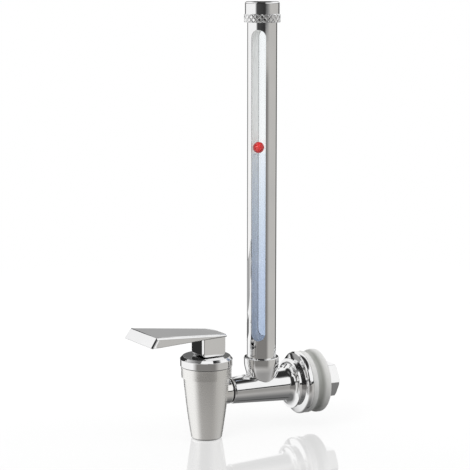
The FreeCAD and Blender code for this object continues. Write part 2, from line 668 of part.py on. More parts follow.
def make_gauge():
    """Outer tube with two windows, clear tube, seals, cap, float and water."""
    tube = turned_piece("gauge_tube", [
        ("tube_radius - tube_wall", "socket_floor"),
        ("tube_radius", "socket_floor"),
        ("tube_radius", "tube_top"),
        ("tube_radius - tube_wall", "tube_top"),
    ], "gauge_place", "slot_turn")
    half = "slot_width / 2"
    window = outline(tube, "XZ_Plane", "window_outline", [
        (half, f"slot_foot + {half}"),
        (half, f"slot_head - {half}", "0", "slot_head"),
        (f"-{half}", f"slot_head - {half}"),
        (f"-{half}", f"slot_foot + {half}", "0", "slot_foot"),
    ])
    pushed(tube, "Pocket", window, None, "windows", both_ways=True)

    turned_piece("sight_tube", [
        ("sight_bore", "socket_floor + lower_seal_thick"),
        ("sight_radius", "socket_floor + lower_seal_thick"),
        ("sight_radius", "tube_top"),
        ("sight_bore", "tube_top"),
    ], "gauge_place")
    turned_piece("lower_sight_seal", [
        ("sight_bore", "socket_floor"),
        ("tube_radius - tube_wall - fit_gap", "socket_floor"),
        ("tube_radius - tube_wall - fit_gap", "socket_floor + lower_seal_thick"),
        ("sight_bore", "socket_floor + lower_seal_thick"),
    ], "gauge_place")
    turned_piece("upper_sight_seal", [
        ("sight_bore", "tube_top"),
        ("tube_radius", "tube_top"),
        ("tube_radius", "tube_top + upper_seal_thick"),
        ("sight_bore", "tube_top + upper_seal_thick"),
    ], "gauge_place")

    ceiling = "tube_top + upper_seal_thick"
    turned_piece("gauge_cap", [
        ("tube_radius + fit_gap", "grip_foot"),
        ("grip_radius", "grip_foot"),
        ("grip_radius", "grip_foot + grip_height"),
        ("cap_radius", "grip_foot + grip_height + loose_gap"),
        *quarter_round("cap_radius", f"{ceiling} + cap_roof", "cap_rounding", (0, -1), (-1, 0)),
        ("cap_vent", f"{ceiling} + cap_roof"),
        ("cap_vent", ceiling),
        ("tube_radius + fit_gap", ceiling),
    ], "gauge_place")

    ball = document.addObject("Part::Sphere", "float_ball")
    ball.Label = "float_ball"
    ball.setExpression("Radius", bound("ball_radius"))
    ball.setExpression("Placement.Base.x", bound("ball_lean * cos(ball_side)"))
    ball.setExpression("Placement.Base.y", bound("gauge_place + ball_lean * sin(ball_side)"))
    ball.setExpression("Placement.Base.z", bound("ball_level"))

    water = document.addObject("Part::Cylinder", "water_column")
    water.Label = "water_column"
    water.setExpression("Radius", bound("sight_bore - water_gap"))
    water.setExpression("Height", bound("ball_level - ball_radius - float_gap - socket_floor"))
    water.setExpression("Placement.Base.y", bound("gauge_place"))
    water.setExpression("Placement.Base.z", bound("socket_floor"))


def make_lever():
    """Wedge-shaped blade on a boxy pedestal, one casting, with its cross pin."""
    body = new_body("lever_handle", "barrel_place", "handle_turn")
    side = outline(body, "YZ_Plane", "blade_side", [
        ("blade_rear", "blade_under"),
        ("blade_rear", "blade_rear_top"),
        ("blade_front", "blade_front_top"),
        ("blade_toe", "blade_toe_level"),
        ("blade_toe + blade_sole", "blade_under"),
    ])
    pushed(body, "Pad", side, "2 * blade_front_half", "blade", both_ways=True)
    for sign, name in (("", "right"), ("-", "left")):
        trim = outline(body, "XY_Plane", name + "_trim_outline", [
            (f"{sign}(blade_front_half)", "blade_toe"),
            (f"{sign}(blade_rear_half)", "blade_rear"),
            (f"{sign}(blade_rear_half)", "blade_rear + beyond"),
            (f"{sign}(blade_front_half + beyond)", "blade_rear + beyond"),
            (f"{sign}(blade_front_half + beyond)", "blade_toe"),
        ])
        pushed(body, "Pocket", trim, None, name + "_trim", both_ways=True)

    def on_blade_side(edge):
        """The upper edge and the bevel's edge, on either side of the blade."""
        first, last = (vertex.Point for vertex in edge.Vertexes)
        lowest = min(first.z, last.z)
        return first.x * last.x > 0 and lowest > value("blade_toe_level") - TINY

    finished_edges(body, "Chamfer", "blade_side_chamfer", "blade_chamfer", on_blade_side)

    foot = "crown_level + seat_gap"
    pedestal = outline(body, "YZ_Plane", "pedestal_side", [
        *quarter_round("pedestal_front", foot, "pedestal_rounding", (0, 1), (1, 0)),
        *quarter_round("pedestal_rear", foot, "pedestal_rounding", (-1, 0), (0, 1)),
        ("pedestal_rear", "blade_under + fit_gap"),
        ("pedestal_front", "blade_under + fit_gap"),
    ])
    pushed(body, "Pad", pedestal, "pedestal_width", "pedestal", both_ways=True)
    room = outline(body, "YZ_Plane", "stem_room_outline", [
        ("cavity_front", f"{foot} - beyond"),
        ("cavity_rear", f"{foot} - beyond"),
        ("cavity_rear", "cavity_roof"),
        ("cavity_front", "cavity_roof"),
    ])
    pushed(body, "Pocket", room, "cavity_width", "stem_room", both_ways=True)
    hole = circle(body, "YZ_Plane", "pin_hole_outline", "pin_radius", up="pin_level")
    hole.setExpression("AttachmentOffset.Base.z", bound("pin_blind"))
    pushed(body, "Pocket", hole, "pin_blind + pedestal_width", "pin_hole")

    pin = new_body("handle_pin", "barrel_place", "handle_turn")
    end = circle(pin, "YZ_Plane", "pin_outline", "pin_radius", up="pin_level")
    end.setExpression("AttachmentOffset.Base.z", bound("-(pedestal_width / 2 - fit_gap)"))
    pushed(pin, "Pad", end, "pedestal_width / 2 - fit_gap + pin_blind - fit_gap", "pin_rod")


make_spout_barrel()
make_bonnet()
make_valve()
make_tee_arm()
make_mounting()
make_gauge()
make_lever()
document.recompute()

PIECES = [
    "spout_barrel", "bonnet", "bonnet_gasket", "lever_handle", "handle_pin", "valve_stem",
    "stem_o_ring", "return_spring", "spring_washer", "seat_cup", "tee_arm", "neck_gasket",
    "flanged_shank", "shank_o_ring", "front_washer", "rear_washer", "mounting_nut", "gauge_tube",
    "sight_tube", "lower_sight_seal", "upper_sight_seal", "gauge_cap", "float_ball",
    "water_column",
]

for item in document.Objects:
    if {"Invalid", "Error"} & set(item.State):
        raise ValueError(f"{item.Name} failed: {item.State}")
for name in PIECES:
    shape = document.getObject(name).Shape
    if shape.isNull() or not shape.isValid() or len(shape.Solids) != 1:
        raise ValueError(f"{name} isn't one valid solid")

os.makedirs("parts", exist_ok=True)
for name in PIECES:
    piece = document.getObject(name)
    piece.Shape.exportStep(os.path.join("parts", piece.Label + ".step"))
    print(f"{piece.Label}: {piece.Shape.Volume:.1f} mm3")
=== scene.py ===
import math

import bmesh
import bpy
import numpy as np
from mathutils import Matrix, Vector


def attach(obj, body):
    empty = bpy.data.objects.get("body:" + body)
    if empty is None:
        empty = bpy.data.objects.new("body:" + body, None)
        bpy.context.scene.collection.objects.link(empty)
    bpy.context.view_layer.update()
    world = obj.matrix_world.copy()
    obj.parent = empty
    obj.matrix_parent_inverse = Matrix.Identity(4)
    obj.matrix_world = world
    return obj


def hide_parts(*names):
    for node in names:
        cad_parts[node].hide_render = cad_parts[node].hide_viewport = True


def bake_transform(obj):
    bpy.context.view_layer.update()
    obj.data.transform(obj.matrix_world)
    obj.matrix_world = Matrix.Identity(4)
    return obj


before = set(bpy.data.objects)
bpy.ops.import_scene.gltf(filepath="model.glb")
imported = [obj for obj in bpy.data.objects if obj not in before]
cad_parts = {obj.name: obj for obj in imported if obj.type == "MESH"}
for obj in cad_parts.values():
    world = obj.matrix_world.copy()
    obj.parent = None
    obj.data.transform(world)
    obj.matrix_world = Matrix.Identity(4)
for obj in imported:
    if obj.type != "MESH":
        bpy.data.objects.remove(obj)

# Sizes of pieces are in millimetres, and become metres when a mesh is made.
# Places in node values and in the studio are in metres.
MM = 0.001
BARREL_Y = -53.1
GAUGE_Y = -22.2
TUBE_TOP = 191.2
FLOAT_Z = 123.0
FLOOR_Z = -23.0
LEVER_TURN = math.radians(-6)
WINDOW_TURN = math.radians(48.3)
FULL_TURN = 2 * math.pi
NO_TURN = 1e-6
NO_LENGTH = 1e-9
ROUND_STEPS = 5

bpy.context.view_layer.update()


# Meshes

def new_piece(name, mesh, material, slot, body, *stands_for):
    """Links a finished mesh, gives it its finish, and puts it on its body in place of CAD nodes."""
    piece = bpy.data.objects.new(name, mesh)
    bpy.context.scene.collection.objects.link(piece)
    mesh.materials.clear()
    mesh.materials.append(material)
    if isinstance(body, str):
        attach(piece, body)
    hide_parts(*stands_for)
    return piece


def rounded(corners):
    """Closed outline of (radius, height, rounding) corners as points with the normals on each side.

    The outline runs anticlockwise, with the radius to the right and the height up.
    """
    outline = []
    count = len(corners)
    for i, (r, h, rounding) in enumerate(corners):
        here = Vector((r, h))
        before = (here - Vector(corners[i - 1][:2])).normalized()
        after = (Vector(corners[(i + 1) % count][:2]) - here).normalized()
        out_before = Vector((before.y, -before.x))
        out_after = Vector((after.y, -after.x))
        turn = math.atan2(before.cross(after), before.dot(after))
        if rounding <= 0 or abs(turn) < NO_TURN:
            outline.append((here, out_before, out_after))
            continue
        reach = rounding * math.tan(abs(turn) / 2)
        side = 1 if turn > 0 else -1
        middle = here - before * reach - out_before * rounding * side
        for step in range(ROUND_STEPS + 1):
            out = Matrix.Rotation(turn * step / ROUND_STEPS, 2) @ out_before
            outline.append((middle + out * rounding * side, out, out))
    return outline


def turned(name, corners, place, along="Z", columns=160):
    """Solid of revolution with rounded corners and exact normals."""
    rings = rounded(corners)
    points, faces, normals = [], [], []
    first = []
    for spot, _, _ in rings:
        first.append(len(points))
        if spot.x < NO_LENGTH:
            points.append((0, 0, spot.y))
            continue
        for column in range(columns):
            angle = FULL_TURN * column / columns
            points.append((spot.x * math.cos(angle), spot.x * math.sin(angle), spot.y))
    for low in range(len(rings)):
        high = (low + 1) % len(rings)
        (a, _, out_a), (b, out_b, _) = rings[low], rings[high]
        if (a - b).length < NO_LENGTH or (a.x < NO_LENGTH and b.x < NO_LENGTH):
            continue
        for column in range(columns):
            following = (column + 1) % columns
            loop = []
            for ring, spot, out, turns in (
                (low, a, out_a, (column, following)), (high, b, out_b, (following, column)),
            ):
                on_axis = spot.x < NO_LENGTH
                for turn in turns[:1] if on_axis else turns:
                    angle = FULL_TURN * (turn + 0.5 * on_axis) / columns
                    loop.append((
                        first[ring] + (0 if on_axis else turn),
                        (out.x * math.cos(angle), out.x * math.sin(angle), out.y),
                    ))
            faces.append([vertex for vertex, _ in loop])
            normals.extend(normal for _, normal in loop)
    stand = standing(along, place)
    mesh = bpy.data.meshes.new(name)
    mesh.from_pydata([stand @ (Vector(p) * MM) for p in points], [], faces)
    rotation = stand.to_3x3()
    mesh.shade_smooth()
    mesh.normals_split_custom_set([rotation @ Vector(n) for n in normals])
    return mesh


def standing(along, place):
    """Turns a piece made round Z to lie along Y if asked, and moves it to its place on Y."""
    if along == "Y":
        return Matrix.Rotation(-math.pi / 2, 4, "X")
    return Matrix.Translation((0, place * MM, 0))


def relief(name, rings, columns, depth, place, along="Z", slide=None):
    """Solid of revolution whose radius is cut back by depth(ring, turn), with plain normals.

    rings are (radius, height) round a closed outline. slide(ring, turn) may move a point along.
    """
    stand = standing(along, place)
    points, faces = [], []
    for ring, (radius, height) in enumerate(rings):
        for column in range(columns):
            turn = column / columns
            r = radius - depth(ring, turn)
            h = height if slide is None else slide(ring, turn)
            angle = FULL_TURN * turn
            points.append(stand @ Vector((
                r * math.cos(angle) * MM, r * math.sin(angle) * MM, h * MM,
            )))
    for ring in range(len(rings)):
        following_ring = (ring + 1) % len(rings)
        for column in range(columns):
            following = (column + 1) % columns
            faces.append((
                ring * columns + column, ring * columns + following,
                following_ring * columns + following, following_ring * columns + column,
            ))
    mesh = bpy.data.meshes.new(name)
    mesh.from_pydata(points, [], faces)
    return mesh


def cleaned(mesh):
    """Merges points that lie together, drops faces without area and turns the faces outward."""
    near = 2e-6
    work = bmesh.new()
    work.from_mesh(mesh)
    bmesh.ops.remove_doubles(work, verts=work.verts, dist=near)
    bmesh.ops.dissolve_degenerate(work, edges=work.edges, dist=near)
    bmesh.ops.recalc_face_normals(work, faces=work.faces)
    work.to_mesh(mesh)
    work.free()
    return mesh


def smooth_by_angle(mesh, degrees):
    """Smooth shading that stays sharp where faces meet at more than the angle."""
    mesh.shade_smooth()
    mesh.set_sharp_from_angle(angle=math.radians(degrees))
    return mesh


def with_modifiers(name, mesh, *modifiers):
    """The mesh after modifiers, each given as (type, settings)."""
    carrier = bpy.data.objects.new(name + "_work", mesh)
    bpy.context.scene.collection.objects.link(carrier)
    for kind, settings in modifiers:
        modifier = carrier.modifiers.new(kind.lower(), kind)
        for key, value in settings.items():
            setattr(modifier, key, value)
    graph = bpy.context.evaluated_depsgraph_get()
    graph.update()
    made = bpy.data.meshes.new_from_object(
        carrier.evaluated_get(graph), preserve_all_data_layers=True, depsgraph=graph
    )
    made.name = name
    bpy.data.objects.remove(carrier)
    return made


def eased_copy(node, name, width, steps, angle=25, wide=None, share=None):
    """A copy of a flat-sided CAD node with its outer edges rounded.

    An outer edge that turns by more than the angle is rounded to the width. share(edge) says how
    far its rounding goes on from there to the wide one. Inner edges stay sharp.
    """
    same_place, flat, area_weight = 1e-6, math.radians(0.6), 80
    widest = wide or width
    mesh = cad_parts[node].data.copy()
    work = bmesh.new()
    work.from_mesh(mesh)
    bmesh.ops.remove_doubles(work, verts=work.verts, dist=same_place)
    bmesh.ops.dissolve_limit(
        work, angle_limit=flat, verts=work.verts, edges=work.edges,
        use_dissolve_boundaries=False, delimit=set(),
    )
    weight = work.edges.layers.float.new("bevel_weight_edge")
    for edge in work.edges:
        if edge.calc_face_angle(0) > math.radians(angle):
            edge.smooth = edge.is_convex
            if edge.is_convex:
                part = share(edge) if share else 1.0
                edge[weight] = part + (1 - part) * width / widest
    for face in work.faces:
        face.smooth = True
    work.to_mesh(mesh)
    work.free()
    return with_modifiers(
        name, mesh,
        ("BEVEL", {
            "width": widest * MM, "segments": steps, "limit_method": "WEIGHT",
            "harden_normals": True, "miter_outer": "MITER_ARC", "use_clamp_overlap": False,
        }),
        ("WEIGHTED_NORMAL", {"keep_sharp": True, "weight": area_weight}),
    )


# Shader nodes

def node_in(tree, kind, operation=None, **sockets):
    """A new shader node with its operation and the values of its sockets."""
    node = tree.nodes.new("ShaderNode" + kind)
    if operation:
        node.operation = operation
    for socket, value in sockets.items():
        node.inputs[socket.replace("_", " ")].default_value = value
    return node


def joined(tree, node, *values):
    """Feeds a node's first sockets with numbers or other nodes' results, and gives its result."""
    for socket, value in zip(node.inputs, values):
        if isinstance(value, (int, float)):
            socket.default_value = value
        else:
            tree.links.new(value, socket)
    return node.outputs[0]


def calculated(tree, operation, *values):
    """The result of a math operation on numbers or other nodes' results."""
    return joined(tree, node_in(tree, "Math", operation), *values)


def choice(tree, factor, first, second):
    """The first shader where the factor is 0, and the second where it is 1."""
    return joined(tree, node_in(tree, "MixShader"), factor, first, second)


def colours_over(tree, value, *stops):
    """Colours over a value, as (position, colour) stops, where a plain number is a grey."""
    ramp = node_in(tree, "ValToRGB")
    elements = ramp.color_ramp.elements
    while len(elements) < len(stops):
        elements.new(0.5)
    for element, (position, colour) in zip(elements, stops):
        element.position = position
        element.color = (*((colour,) * 3 if isinstance(colour, float) else colour), 1)
    return joined(tree, ramp, value)


def seen_directly(tree):
    """1 for what the camera sees itself or through glass, and 0 for light and reflections."""
    rays = node_in(tree, "LightPath").outputs
    return calculated(tree, "MAXIMUM", rays["Is Camera Ray"], rays["Is Transmission Ray"])


# Finishes

class Finish:
    """A node material with the textures that the finishes share."""

    def __init__(self, name, **sockets):
        self.material = bpy.data.materials.new(name)
        self.material.use_nodes = True
        self.tree = self.material.node_tree
        self.shader = self.tree.nodes["Principled BSDF"]
        for socket, value in sockets.items():
            self.shader.inputs[socket.replace("_", " ")].default_value = value
        self.place = node_in(self.tree, "TexCoord").outputs["Object"]

    def coordinate(self, axis):
        """One coordinate of the point in the part's frame."""
        split = node_in(self.tree, "SeparateXYZ")
        joined(self.tree, split, self.place)
        return split.outputs[axis]

    def distance(self, place):
        """How far a place is from the origin."""
        measure = node_in(self.tree, "VectorMath", "LENGTH")
        joined(self.tree, measure, place)
        return measure.outputs["Value"]

    def noise(self, scale, detail, stretch=(1, 1, 1), roughness=0.5):
        """Noise of so many spots per metre, stretched along the axes."""
        mapping = node_in(self.tree, "Mapping", Scale=stretch)
        texture = node_in(self.tree, "TexNoise", Scale=scale, Detail=detail, Roughness=roughness)
        self.tree.links.new(self.place, mapping.inputs["Vector"])
        self.tree.links.new(mapping.outputs["Vector"], texture.inputs["Vector"])
        return texture.outputs["Fac"]

    def spread(self, value, low, high, span=(0.3, 0.7)):
        """A value that goes over the span becomes a number from low to high."""
        start, end = span
        return joined(self.tree, node_in(
            self.tree, "MapRange", From_Min=start, From_Max=end, To_Min=low, To_Max=high,
        ), value)

    def set(self, socket, value):
        """Feeds one of the shader's sockets."""
        self.tree.links.new(value, self.shader.inputs[socket])

    def tint(self, value, *stops):
        """Base colour over a value, as (position, colour) stops."""
        colour = colours_over(self.tree, value, *stops)
        self.set("Base Color", colour)
        return colour

    def bump(self, height, depth, strength):
        """Relief of so many metres from a value between 0 and 1."""
        relief_node = node_in(self.tree, "Bump", Strength=strength, Distance=depth)
        self.tree.links.new(height, relief_node.inputs["Height"])
        self.set("Normal", relief_node.outputs["Normal"])

    def cover(self, shader):
        """Puts a shader on the surface."""
        self.tree.links.new(shader, self.tree.nodes["Material Output"].inputs["Surface"])

    def let_lamps_through(self, colour=None):
        """Lamps and sky reach what is behind the glass, as they do through a clear wall."""
        rays = node_in(self.tree, "LightPath").outputs
        open_side = node_in(self.tree, "BsdfTransparent")
        if colour is not None:
            self.tree.links.new(colour, open_side.inputs["Color"])
        self.cover(choice(
            self.tree, rays["Is Shadow Ray"], self.shader.outputs[0], open_side.outputs[0],
        ))


def polished(name):
    """Chrome plate with faint cleaning marks and a slight waviness from polishing."""
    finish = Finish(name, Metallic=1.0)
    finish.set("Roughness", finish.spread(finish.noise(900, 4, (1, 1, 1), 0.65), 0.03, 0.08))
    finish.tint(finish.noise(60, 2), (0.35, (0.86, 0.86, 0.865)), (0.65, (0.9, 0.9, 0.9)))
    finish.bump(finish.noise(90, 1), 0.00002, 0.25)
    return finish.material


def satin(name):
    """Satin nickel, brushed round the barrel in very fine lines; the arm's boss is polished."""
    boss_front, boss_radius = -0.0450, 0.00664
    finish = Finish(name, Metallic=1.0, Anisotropic=0.3)
    tree = finish.tree
    lines = finish.noise(320, 5, (1, 1, 30), 0.7)
    across = node_in(tree, "VectorMath", "MULTIPLY")
    across.inputs[1].default_value = (1, 0, 1)
    radius = finish.distance(joined(tree, across, finish.place))
    on_boss = calculated(
        tree, "MULTIPLY",
        finish.spread(finish.coordinate("Y"), 0, 1, (boss_front, boss_front + 0.0001)),
        finish.spread(radius, 1, 0, (boss_radius, boss_radius + 0.00004)),
    )
    gloss = node_in(tree, "Mix")
    tree.links.new(on_boss, gloss.inputs["Factor"])
    tree.links.new(finish.spread(lines, 0.25, 0.31), gloss.inputs["A"])
    tree.links.new(finish.spread(lines, 0.04, 0.09), gloss.inputs["B"])
    finish.set("Roughness", gloss.outputs["Result"])
    finish.tint(lines, (0.3, (0.89, 0.88, 0.86)), (0.7, (0.92, 0.912, 0.895)))
    finish.bump(lines, 0.00001, 0.05)
    return finish.material


def dull(name):
    """Pale matt wall inside the gauge tube, with drawing lines along it.

    Its own glow stands in for the light that bounces down the tube.
    """
    finish = Finish(
        name, IOR=1.5, Emission_Color=(1.0, 0.985, 0.96, 1), Emission_Strength=0.33,
    )
    lines = finish.noise(500, 4, (1, 1, 0.02), 0.6)
    finish.set("Roughness", finish.spread(lines, 0.4, 0.55))
    finish.tint(lines, (0.3, (0.92, 0.915, 0.905)), (0.7, (0.97, 0.965, 0.955)))
    finish.bump(lines, 0.00001, 0.3)
    return finish.material


def silicone(name, painted_shade_along_y=None):
    """Milky translucent silicone.

    Stops of (metres, colour) along Y, when given, paint shade into the colour: a darker band round
    the washer's neck, painted shade of the groove there.
    """
    finish = Finish(
        name, Subsurface_Weight=0.5, Subsurface_Radius=(1.0, 1.0, 0.95),
        Subsurface_Scale=0.0025, IOR=1.41, Coat_Weight=0.15,
    )
    # Painted shade: with stops along Y the colour follows them instead of a random tone.
    if painted_shade_along_y:
        first, last = painted_shade_along_y[0][0], painted_shade_along_y[-1][0]
        value = finish.spread(finish.coordinate("Y"), 0, 1, (first, last))
        stops = [((place - first) / (last - first), colour) for place, colour in painted_shade_along_y]
    else:
        value = finish.noise(180, 3)
        stops = [(0.3, (0.66, 0.66, 0.645)), (0.7, (0.74, 0.74, 0.73))]
    finish.tint(value, *stops)
    finish.set("Roughness", finish.spread(finish.noise(700, 3), 0.3, 0.45))
    finish.bump(finish.noise(1500, 3), 0.00002, 0.3)
    return finish.material


def rubber(name):
    """Dark seal rubber."""
    finish = Finish(name, IOR=1.5)
    grain = finish.noise(2500, 3)
    finish.tint(grain, (0.3, (0.018, 0.018, 0.019)), (0.7, (0.035, 0.035, 0.036)))
    finish.set("Roughness", finish.spread(grain, 0.45, 0.65))
    finish.bump(grain, 0.00002, 0.4)
    return finish.material


def steel_wire(name):
    """Drawn spring wire."""
    finish = Finish(name, Metallic=1.0)
    grain = finish.noise(1500, 4)
    finish.tint(grain, (0.3, (0.5, 0.5, 0.5)), (0.7, (0.62, 0.61, 0.6)))
    finish.set("Roughness", finish.spread(grain, 0.22, 0.38))
    finish.bump(grain, 0.00001, 0.3)
    return finish.material


def clear_plastic(name):
    """Clear tube with faint drawing lines along it."""
    finish = Finish(
        name, Base_Color=(0.97, 0.985, 0.99, 1), Transmission_Weight=1.0, IOR=1.49,
        Specular_IOR_Level=0.06,
    )
    lines = finish.noise(1400, 3, (1, 1, 0.01))
    finish.set("Roughness", finish.spread(lines, 0.0, 0.02))
    finish.bump(lines, 0.00001, 0.1)
    finish.let_lamps_through()
    return finish.material


def liquid(name):
    """The clear bluish liquid that shows the level, deeper in colour further down."""
    deep_end, pale_end = 0.02, 0.12
    finish = Finish(name, Transmission_Weight=1.0, IOR=1.02, Roughness=0.0)
    height = finish.spread(finish.coordinate("Z"), 0.0, 1.0, (deep_end, pale_end))
    colour = finish.tint(
        height, (0.0, (0.45, 0.54, 0.71)), (0.35, (0.565, 0.64, 0.8)),
        (0.66, (0.71, 0.785, 0.9)), (1.0, (0.9, 0.93, 0.985)),
    )
    finish.let_lamps_through(colour)
    return finish.material


def red_plastic(name):
    """Moulded glossy red plastic."""
    finish = Finish(
        name, IOR=1.3, Coat_Weight=0.1, Coat_Roughness=0.04, Subsurface_Weight=0.1,
        Subsurface_Scale=0.001,
    )
    cloud = finish.noise(500, 3)
    finish.tint(cloud, (0.3, (0.7, 0.001, 0.001)), (0.7, (0.78, 0.003, 0.002)))
    finish.set("Roughness", finish.spread(cloud, 0.12, 0.22))
    finish.bump(finish.noise(1800, 2), 0.00001, 0.2)
    return finish.material


CHROME = polished("chrome")
SATIN = satin("satin_nickel")
DULL = dull("drawn_metal")
SILICONE = silicone("silicone")
# Painted shade in the thick washer's colour: darker from 4.2 to 5.8 mm along Y, where its neck lies
# in the groove's shade.
THICK_SILICONE_PAINTED_SHADE = silicone("thick_silicone_painted_shade", (
    (0.0029, (0.6, 0.6, 0.585)), (0.0042, (0.36, 0.365, 0.345)), (0.0058, (0.34, 0.345, 0.325)),
    (0.0072, (0.62, 0.62, 0.605)), (0.0103, (0.74, 0.74, 0.73)),
))
RUBBER = rubber("seal_rubber")
WIRE = steel_wire("spring_wire")
CLEAR = clear_plastic("clear_tube")
LIQUID = liquid("liquid")
RED = red_plastic("float_plastic")

for finish, nodes in (
    (CHROME, ("tee_arm", "valve_stem")),
    (SATIN, ("spout_barrel",)),
    (WIRE, ("handle_pin", "spring_washer")),
    (RUBBER, ("bonnet_gasket", "neck_gasket", "stem_o_ring", "shank_o_ring")),
    (SILICONE, ("seat_cup", "lower_sight_seal", "upper_sight_seal")),
):
    for node in nodes:
        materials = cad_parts[node].data.materials
        for place in range(len(materials)):
            materials[place] = finish


# Valve end

def bonnet_mesh():
    """Screw cap: a hollow skirt inside the barrel under a bevelled rim and a low crown."""
    stem_bore, skirt_bore, skirt, rim, crown = 1.86, 8.0, 10.15, 13.3, 12.05
    skirt_foot, ceiling, rim_foot, rim_top = 7.2, 11.0, 14.5, 18.15
    crown_edge, crown_top = 19.5, 19.6
    return turned("bonnet_cap", [
        (stem_bore, ceiling, 0), (skirt_bore, ceiling, 0), (skirt_bore, skirt_foot, 0.2),
        (skirt, skirt_foot, 0.3), (skirt, rim_foot, 0), (rim, rim_foot, 0.3), (rim, rim_top, 0.3),
        (crown, crown_edge, 0.4), (stem_bore, crown_top, 0.2),
    ], BARREL_Y)


new_piece("bonnet_cap", bonnet_mesh(), CHROME, "polished_metal", "root", "bonnet")

PEDESTAL = (
    Matrix.Rotation(LEVER_TURN, 4, "Z") @ Matrix.Translation((0, -BARREL_Y * MM, 0))
)


def pedestal_front(edge):
    """1 on the pedestal's two upright front edges, less along the round below them, 0 elsewhere."""
    half_width, slack, blade_foot = 6.0, 0.1, 29.0
    round_end, run_out = -3.5, 2.0
    ends = [PEDESTAL @ vertex.co / MM for vertex in edge.verts]
    nearest, furthest = sorted(abs(end.x) for end in ends)
    on_side = nearest > half_width and furthest < half_width + slack
    if not on_side or ends[0].x * ends[1].x < 0 or min(end.z for end in ends) > blade_foot:
        return 0.0
    middle = (ends[0].y + ends[1].y) / 2
    return min(1.0, max(0.0, (round_end - middle) / run_out))


new_piece("lever", eased_copy(
    "lever_handle", "lever", 0.3, 4, wide=1.2, share=pedestal_front,
), CHROME, "polished_metal", "handle", "lever_handle")

spring = new_piece(
    "coil_spring", smooth_by_angle(cleaned(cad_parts["return_spring"].data.copy()), 40),
    WIRE, "spring_steel", None, "return_spring",
)
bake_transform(spring)


# Mounting

def thread_mesh():
    """Wall flange and shank in one, with a real thread that runs out at both ends."""
    bore, crest, root, pitch = 4.0, 6.0, 5.1, 1.5
    tail, start, end = -14.0, 3.4, 18.5
    rows_per_turn = 8
    flat = 0.12
    chamfer = 0.15

    def groove(turns):
        """Depth of the groove after so many turns of the helix, 0 at the crest."""
        near = abs(turns - math.floor(turns) - 0.5) * 2
        return (crest - root) * min(1, max(0, (near - flat) / (1 - 2 * flat)))

    # The tail in the arm's bell, the hub, and the flange's coned front, round rim and back.
    outline = [
        (bore, tail), (crest, tail), (crest, -4.4), (10.3, -4.4), (10.5, -4.2), (15.2, -2.97),
        (15.55, -2.8), (15.97, -2.36), (16.1, -2.1), (16.1, -0.4), (16.02, -0.12), (15.8, 0.0),
        (root + chamfer, 0.0), (root, chamfer),
    ]
    fixed_rings = len(outline)
    rows = int((end - start) / pitch + 2) * rows_per_turn
    for row in range(rows):
        outline.append((crest, start + (row / rows_per_turn - 1) * pitch))
    outline += [(root - chamfer, end), (bore + chamfer, end), (bore, end - chamfer)]

    def reach(ring, turn):
        """Height of a point; the thread's rows climb with the helix up to the shank's end."""
        height = outline[ring][1]
        if fixed_rings <= ring < fixed_rings + rows:
            return min(end, max(start, height + turn * pitch))
        return height

    def depth(ring, turn):
        """The groove, cut to its full depth where the thread runs out."""
        if not fixed_rings <= ring < fixed_rings + rows:
            return 0
        height = reach(ring, turn)
        cut = groove((outline[ring][1] - start) / pitch)
        run_out = crest - root - min(height - start, end - height, crest - root)
        return max(cut, run_out)

    mesh = relief("threaded_shank", outline, 96, depth, 0, along="Y", slide=reach)
    return smooth_by_angle(cleaned(mesh), 28)


WASHER_BORE, WASHERS_MEET, WASHERS_END = 6.2, 2.9, 10.3

new_piece("threaded_shank", thread_mesh(), CHROME, "polished_metal", "root", "flanged_shank")
new_piece("thin_washer", turned("thin_washer", [
    (WASHER_BORE, 0.0, 0.2), (16.0, 0.0, 0.5), (16.0, WASHERS_MEET, 0.5),
    (WASHER_BORE, WASHERS_MEET, 0.2),
], 0, "Y"), SILICONE, "silicone", "root", "front_washer")
new_piece("thick_washer", turned("thick_washer", [
    (WASHER_BORE, WASHERS_MEET, 0.2), (15.2, WASHERS_MEET, 0.35), (15.4, 5.0, 0.6),
    (16.4, 7.4, 1.6), (16.4, WASHERS_END, 1.2), (WASHER_BORE, WASHERS_END, 0.2),
], 0, "Y"), THICK_SILICONE_PAINTED_SHADE, "silicone", "washer", "rear_washer")
new_piece(
    "hexagon_nut", eased_copy("mounting_nut", "hexagon_nut", 0.15, 2, 20), CHROME,
    "polished_metal", "nut", "mounting_nut",
)


# Level gauge

def window_cutter(half_width, low, high, reach):
    """Round-ended prism that cuts both windows."""
    steps = 24
    arc = [math.pi * i / steps for i in range(steps + 1)]
    outline = [
        (half_width * math.cos(a), high - half_width + half_width * math.sin(a)) for a in arc
    ] + [
        (-half_width * math.cos(a), low + half_width - half_width * math.sin(a)) for a in arc
    ]
    mesh = bpy.data.meshes.new("window_cutter")
    count = len(outline)
    mesh.from_pydata(
        [Vector((x, y, z)) * MM for y in (-reach, reach) for x, z in outline], [],
        [list(range(count)), list(range(2 * count - 1, count - 1, -1))]
        + [(i, i + count, (i + 1) % count + count, (i + 1) % count) for i in range(count)],
    )
    cutter = bpy.data.objects.new("window_cutter", cleaned(mesh))
    bpy.context.scene.collection.objects.link(cutter)
    return cutter


